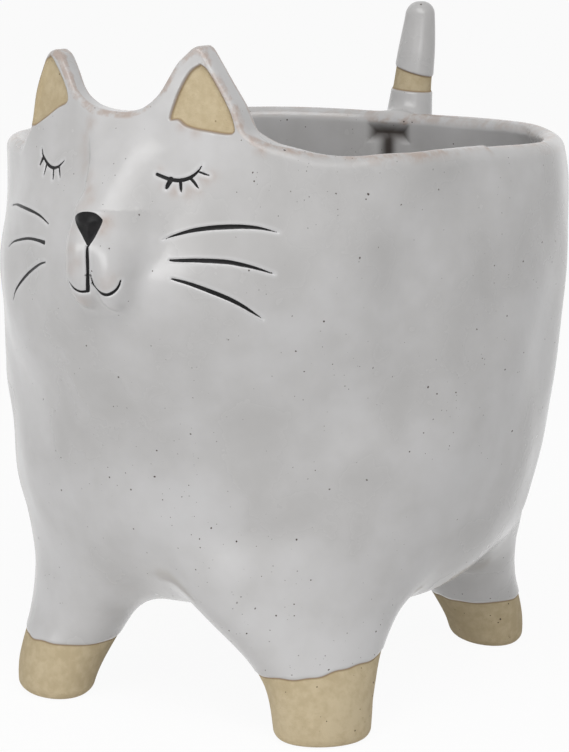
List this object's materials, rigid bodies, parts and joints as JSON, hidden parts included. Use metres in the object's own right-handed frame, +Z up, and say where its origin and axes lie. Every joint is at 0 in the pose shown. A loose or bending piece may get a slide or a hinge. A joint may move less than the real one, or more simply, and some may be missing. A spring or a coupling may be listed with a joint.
{
  "type": "animal shaped planter",
  "caption": "Round stoneware planter shaped as a sleeping cat, with ears, a raised tail and splayed legs; it holds a potted plant.",
  "frame": {"origin": "middle of the footprint's box, on the surface that the paws stand on", "axes": "+Z up, -Y the way the face looks, +Y towards the tail, +X the cat's left"},
  "size_m": [0.153, 0.1902, 0.1822],
  "materials": {
    "glaze": "semi-gloss off-white glaze with iron speckles",
    "clay": "unglazed speckled buff stoneware, matt",
    "black": "black underglaze let into incised lines"
  },
  "bodies": {
    "root": {"pot_wall": "glaze", "pot_floor": "glaze", "head": "glaze", "muzzle": "glaze", "left_ear": "glaze", "right_ear": "glaze", "tail_root": "glaze", "tail_tip": "glaze", "left_front_leg": "glaze", "right_front_leg": "glaze", "left_back_leg": "glaze", "right_back_leg": "glaze", "left_inner_ear": "clay", "right_inner_ear": "clay", "tail_band": "clay", "left_front_paw": "clay", "right_front_paw": "clay", "left_back_paw": "clay", "right_back_paw": "clay", "nose": "black", "mouth": "black", "left_eye": "black", "right_eye": "black", "left_upper_whisker": "black", "left_middle_whisker": "black", "left_lower_whisker": "black", "right_upper_whisker": "black", "right_middle_whisker": "black", "right_lower_whisker": "black"}
  },
  "joints": []
}
